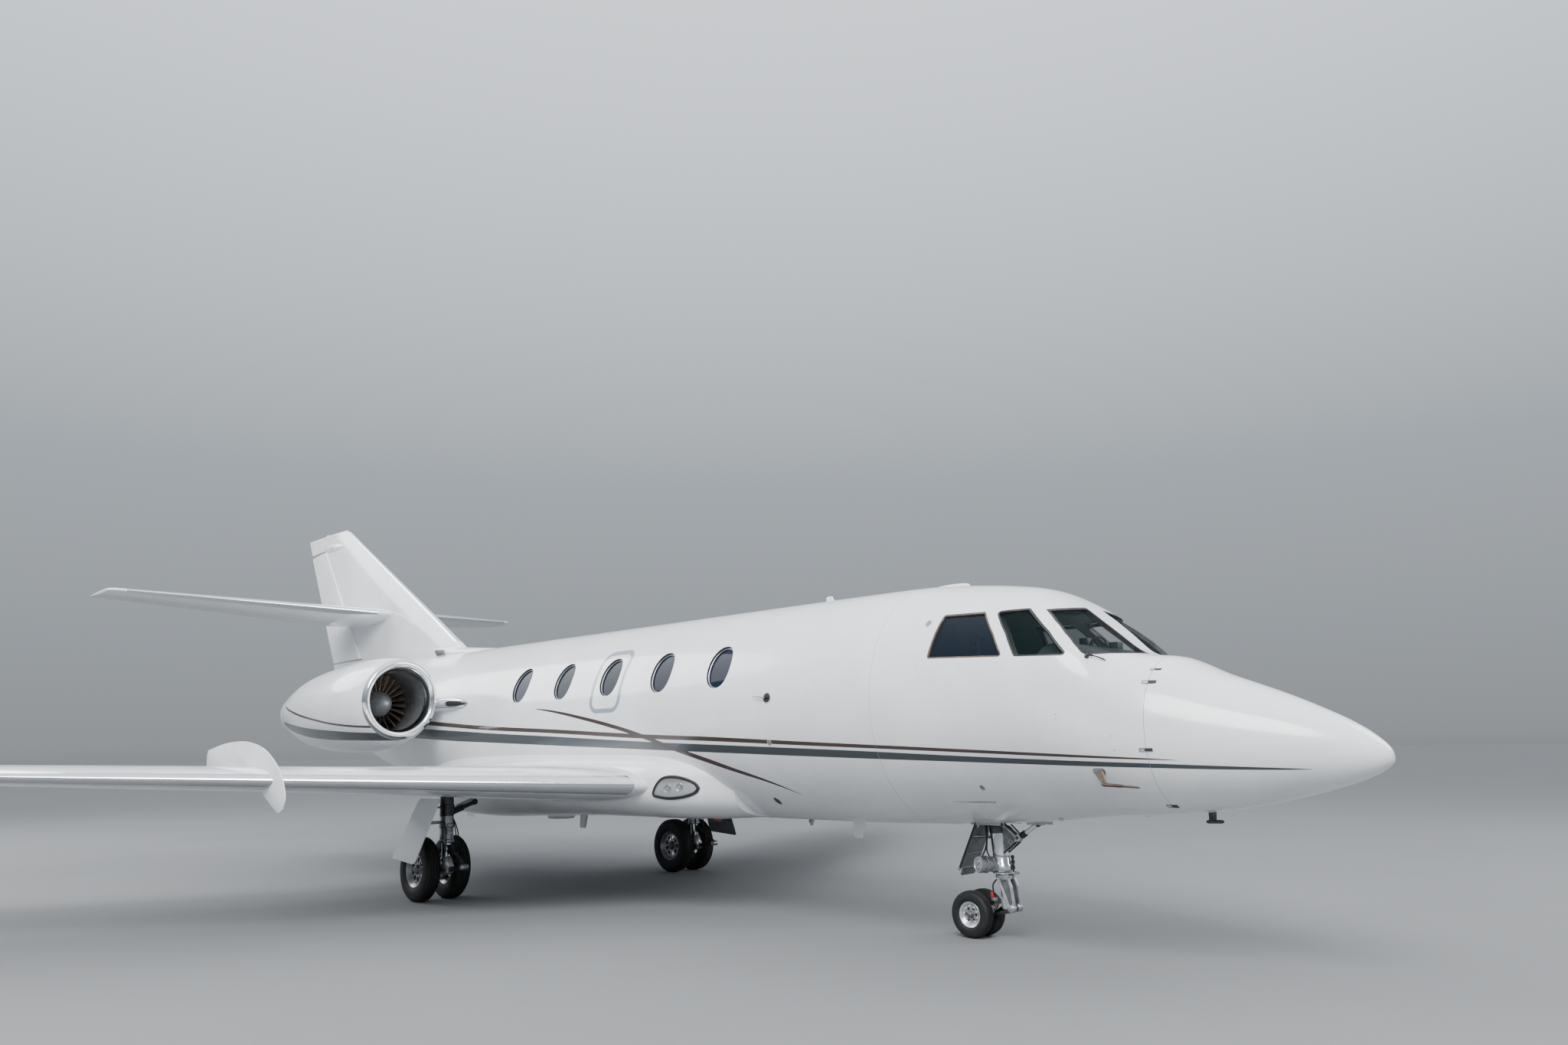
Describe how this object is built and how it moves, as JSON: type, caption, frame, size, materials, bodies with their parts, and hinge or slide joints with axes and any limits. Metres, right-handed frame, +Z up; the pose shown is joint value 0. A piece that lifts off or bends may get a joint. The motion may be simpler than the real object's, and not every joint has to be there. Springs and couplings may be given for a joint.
{
  "type": "business jet",
  "caption": "Twin-engined business jet with a low swept wing, rear nacelles, a tailplane half-way up the fin and twin-wheel landing gear, standing with its door shut.",
  "frame": {"origin": "on the ground under the middle of the overall length, on the centre plane", "axes": "+X to the nose, +Y to the port side, +Z up"},
  "size_m": [17.2, 16.3, 5.27],
  "materials": {
    "radome_white": "gloss",
    "fuselage_white": "gloss",
    "fairing_white": "gloss",
    "wing_paint": "satin",
    "tail_white": "gloss",
    "nacelle_white": "gloss",
    "pylon_metal": "polished",
    "gear_steel": "satin",
    "engine_block": "satin",
    "fan_metal": "satin",
    "wheel_rim": "satin",
    "tyre": "matte",
    "window_glass": "gloss",
    "carpet": "matte",
    "cream_trim": "satin",
    "dark_trim": "matte",
    "seat_leather": "satin"
  },
  "bodies": {
    "airframe": {"radome": "radome_white", "cockpit_section": "fuselage_white", "cabin_section": "fuselage_white", "tail_cone": "fuselage_white", "exit_hatch": "fuselage_white", "cabin_floor": "carpet", "cockpit_bulkhead": "cream_trim", "rear_bulkhead": "cream_trim", "instrument_panel": "dark_trim", "pilot_seat_port": "seat_leather", "pilot_seat_stbd": "seat_leather", "window_front_port": "window_glass", "window_front_stbd": "window_glass", "window_mid_port": "window_glass", "window_mid_stbd": "window_glass", "window_rear_port": "window_glass", "window_rear_stbd": "window_glass", "belly_fairing": "fairing_white", "wing_port": "wing_paint", "wing_stbd": "wing_paint", "fin": "tail_white", "tailplane": "tail_white", "nacelle_port": "nacelle_white", "pylon_port": "pylon_metal", "engine_core_port": "engine_block", "main_leg_port": "gear_steel", "leg_door_port": "tail_white", "nacelle_stbd": "nacelle_white", "pylon_stbd": "pylon_metal", "engine_core_stbd": "engine_block", "main_leg_stbd": "gear_steel", "leg_door_stbd": "tail_white", "nose_leg": "gear_steel", "nose_door": "dark_trim"},
    "flap_inner_port_body": {"flap_inner_port": "tail_white"},
    "flap_inner_stbd_body": {"flap_inner_stbd": "tail_white"},
    "flap_outer_port_body": {"flap_outer_port": "tail_white"},
    "flap_outer_stbd_body": {"flap_outer_stbd": "tail_white"},
    "aileron_port_body": {"aileron_port": "tail_white"},
    "aileron_stbd_body": {"aileron_stbd": "tail_white"},
    "elevator_port_body": {"elevator_port": "tail_white"},
    "elevator_stbd_body": {"elevator_stbd": "tail_white"},
    "rudder_hinge_body": {"rudder": "tail_white"},
    "passenger_door_body": {"passenger_door": "fuselage_white"},
    "fan_spin_port_body": {"fan_port": "fan_metal"},
    "main_wheels_port_body": {"main_wheels_port": "wheel_rim", "main_tyre_in_port": "tyre", "main_tyre_out_port": "tyre"},
    "fan_spin_stbd_body": {"fan_stbd": "fan_metal"},
    "main_wheels_stbd_body": {"main_wheels_stbd": "wheel_rim", "main_tyre_in_stbd": "tyre", "main_tyre_out_stbd": "tyre"},
    "nose_steering_body": {"nose_fork": "gear_steel"},
    "nose_wheels_body": {"nose_wheels": "wheel_rim", "nose_tyre_port": "tyre", "nose_tyre_stbd": "tyre"}
  },
  "joints": [
    {"name": "flap_inner_port", "type": "hinge", "parent": "airframe", "child": "flap_inner_port_body", "pos_m": [-0.28887, 1.334, 1.1657], "axis": [0.2089, -0.9767, -0.0487], "range_deg": [0, 40]},
    {"name": "flap_inner_stbd", "type": "hinge", "parent": "airframe", "child": "flap_inner_stbd_body", "pos_m": [-0.28887, -1.334, 1.1657], "axis": [-0.2089, -0.9767, 0.0487], "range_deg": [0, 40]},
    {"name": "flap_outer_port", "type": "hinge", "parent": "airframe", "child": "flap_outer_port_body", "pos_m": [-0.60979, 3.04, 1.25268], "axis": [0.3913, -0.9193, -0.0415], "range_deg": [0, 40]},
    {"name": "flap_outer_stbd", "type": "hinge", "parent": "airframe", "child": "flap_outer_stbd_body", "pos_m": [-0.60979, -3.04, 1.25268], "axis": [-0.3913, -0.9193, 0.0415], "range_deg": [0, 40]},
    {"name": "aileron_port", "type": "hinge", "parent": "airframe", "child": "aileron_port_body", "pos_m": [-1.58544, 5.332, 1.35596], "axis": [0.3914, -0.9194, -0.039], "range_deg": [-25, 25]},
    {"name": "aileron_stbd", "type": "hinge", "parent": "airframe", "child": "aileron_stbd_body", "pos_m": [-1.58544, -5.332, 1.35596], "axis": [-0.3914, -0.9194, 0.039], "range_deg": [-25, 25]},
    {"name": "elevator_port", "type": "hinge", "parent": "airframe", "child": "elevator_port_body", "pos_m": [-6.66831, 0.136, 3.63852], "axis": [0.3924, -0.9153, -0.091], "range_deg": [-20, 16]},
    {"name": "elevator_stbd", "type": "hinge", "parent": "airframe", "child": "elevator_stbd_body", "pos_m": [-6.66831, -0.136, 3.63852], "axis": [-0.3924, -0.9153, 0.091], "range_deg": [-20, 16]},
    {"name": "rudder_hinge", "type": "hinge", "parent": "airframe", "child": "rudder_hinge_body", "pos_m": [-6.11779, 0, 3.016], "axis": [-0.6529, 0, 0.7574], "range_deg": [-25, 25]},
    {"name": "passenger_door", "type": "hinge", "parent": "airframe", "child": "passenger_door_body", "pos_m": [4.58, 0.575, 1.082], "axis": [-1, 0, 0], "range_deg": [0, 115]},
    {"name": "fan_spin_port", "type": "hinge", "parent": "airframe", "child": "fan_spin_port_body", "pos_m": [-2.16, 1.608, 2.113], "axis": [1, 0, 0], "continuous": true},
    {"name": "main_wheels_port", "type": "hinge", "parent": "airframe", "child": "main_wheels_port_body", "pos_m": [-0.28, 1.73, 0.325], "axis": [0, 1, 0], "continuous": true},
    {"name": "fan_spin_stbd", "type": "hinge", "parent": "airframe", "child": "fan_spin_stbd_body", "pos_m": [-2.16, -1.608, 2.113], "axis": [1, 0, 0], "continuous": true},
    {"name": "main_wheels_stbd", "type": "hinge", "parent": "airframe", "child": "main_wheels_stbd_body", "pos_m": [-0.28, -1.73, 0.325], "axis": [0, 1, 0], "continuous": true},
    {"name": "nose_steering", "type": "hinge", "parent": "airframe", "child": "nose_steering_body", "pos_m": [5.685, 0, 0.25], "axis": [-0.0942, 0, 0.9956], "range_deg": [-50, 50]},
    {"name": "nose_wheels", "type": "hinge", "parent": "nose_steering_body", "child": "nose_wheels_body", "pos_m": [5.4, 0, 0.182], "axis": [0, 1, 0], "continuous": true}
  ]
}
